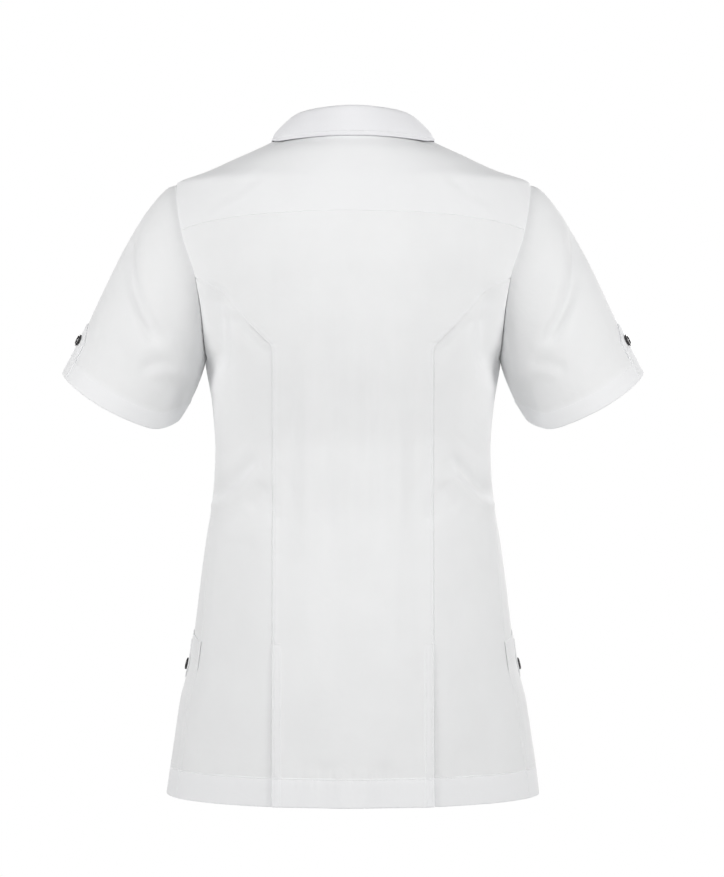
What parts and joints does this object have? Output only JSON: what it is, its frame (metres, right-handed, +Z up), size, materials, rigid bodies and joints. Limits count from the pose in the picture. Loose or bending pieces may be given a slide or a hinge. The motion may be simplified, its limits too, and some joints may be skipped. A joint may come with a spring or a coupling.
{
  "type": "medical tunic",
  "caption": "Fitted short-sleeved medical tunic with shirt collar, princess seams, side vents and buttoned sleeve tabs, filled out as it is worn.",
  "frame": {"origin": "in the middle of the neck opening, level with the neck ends of the shoulders, where a wearer's shoulders hold the tunic", "axes": "+Z up to the collar, -Y to the wearer's front, +X to the wearer's left"},
  "size_m": [0.625, 0.2899, 0.7322],
  "materials": {
    "cloth": "white polyester-cotton",
    "collar_cloth": "white polyester-cotton, interlined and pressed",
    "buttons": "dark resin, slightly glossy rim"
  },
  "bodies": {
    "root": {"yoke": "cloth", "back_centre": "cloth", "collar_stand": "collar_cloth", "collar_fall": "collar_cloth", "button_band": "cloth", "back_side_left": "cloth", "front_side_left": "cloth", "front_left": "cloth", "sleeve_left": "cloth", "sleeve_tab_left": "cloth", "pocket_left": "cloth", "pocket_tab_left": "cloth", "button_sleeve_left": "buttons", "button_pocket_left": "buttons", "back_side_right": "cloth", "front_side_right": "cloth", "front_right": "cloth", "sleeve_right": "cloth", "sleeve_tab_right": "cloth", "pocket_right": "cloth", "pocket_tab_right": "cloth", "button_sleeve_right": "buttons", "button_pocket_right": "buttons", "button_front_1": "buttons", "button_front_2": "buttons", "button_front_3": "buttons", "button_front_4": "buttons", "button_front_5": "buttons", "button_front_6": "buttons", "button_front_7": "buttons"}
  },
  "joints": []
}
